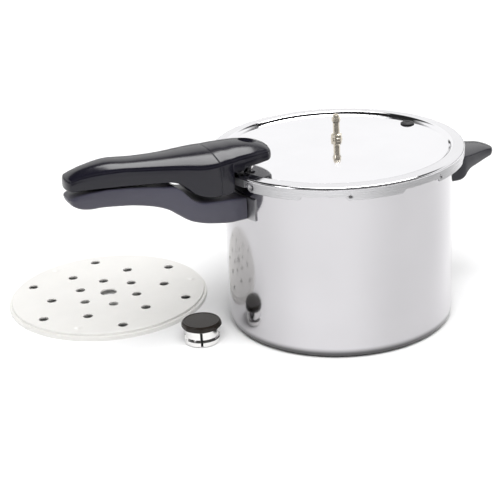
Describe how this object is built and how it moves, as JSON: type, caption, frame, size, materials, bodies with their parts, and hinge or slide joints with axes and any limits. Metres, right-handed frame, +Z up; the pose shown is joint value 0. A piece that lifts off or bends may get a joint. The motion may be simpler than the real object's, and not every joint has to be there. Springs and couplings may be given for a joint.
{
  "type": "pressure canner",
  "caption": "Polished pressure canner with a bayonet lid, long upper and lower handles, a helper handle, vent pipe, cover lock, pressure regulator and perforated rack.",
  "frame": {"origin": "on the pot's axis, in the plane of its flat underside", "axes": "+Z up along the pot's axis, the long handles run towards -X and the helper handle towards +X"},
  "size_m": [0.4675, 0.3729, 0.1974],
  "materials": {
    "pot_metal": "soft mirror polish, faintly turned around the wall",
    "lid_metal": "mirror polished panel, brushed skirt",
    "handle_phenolic": "moulded black phenolic, satin with a grey sheen",
    "cap_phenolic": "moulded brown-black phenolic, satin",
    "bracket_steel": "stamped steel, bright",
    "fitting_chrome": "polished plating",
    "seal_rubber": "smooth moulded rubber",
    "rack_metal": "matte off-white sheet"
  },
  "bodies": {
    "pot": {"pot_body": "pot_metal", "pot_handle_bracket": "bracket_steel", "lower_handle": "handle_phenolic", "lower_handle_screw": "bracket_steel", "helper_bracket": "bracket_steel", "helper_handle": "handle_phenolic", "helper_handle_screw": "bracket_steel", "lock_bracket": "bracket_steel", "lock_bracket_rivets": "pot_metal"},
    "sealing_ring": {"sealing_ring": "seal_rubber"},
    "lid": {"lid_shell": "lid_metal", "lid_handle_bracket": "bracket_steel", "upper_handle": "handle_phenolic", "upper_handle_screw": "bracket_steel", "vent_pipe": "fitting_chrome", "vent_pipe_nut": "bracket_steel", "overpressure_plug": "seal_rubber"},
    "cover_lock": {"cover_lock_pin": "fitting_chrome", "cover_lock_cap": "fitting_chrome", "cover_lock_gasket": "seal_rubber"},
    "regulator": {"regulator_cap": "cap_phenolic", "regulator_weight": "fitting_chrome"},
    "rack": {"cooking_rack": "rack_metal"}
  },
  "joints": [
    {"name": "lid_lift", "type": "slide", "parent": "pot", "child": "sealing_ring", "axis": [0, 0, 1], "range_m": [0, 0.21]},
    {"name": "lid_turn", "type": "hinge", "parent": "sealing_ring", "child": "lid", "pos_m": [0, 0, 0.17], "axis": [0, 0, 1], "range_deg": [0, 22.5]},
    {"name": "cover_lock_rise", "type": "slide", "parent": "lid", "child": "cover_lock", "axis": [0, 0, 1], "range_m": [0, 0.006]},
    {"name": "regulator_lift", "type": "slide", "parent": "pot", "child": "regulator", "axis": [0, 0, 1], "range_m": [0, 0.06]},
    {"name": "rack_lift", "type": "slide", "parent": "pot", "child": "rack", "axis": [0, 0, 1], "range_m": [0, 0.1]}
  ]
}
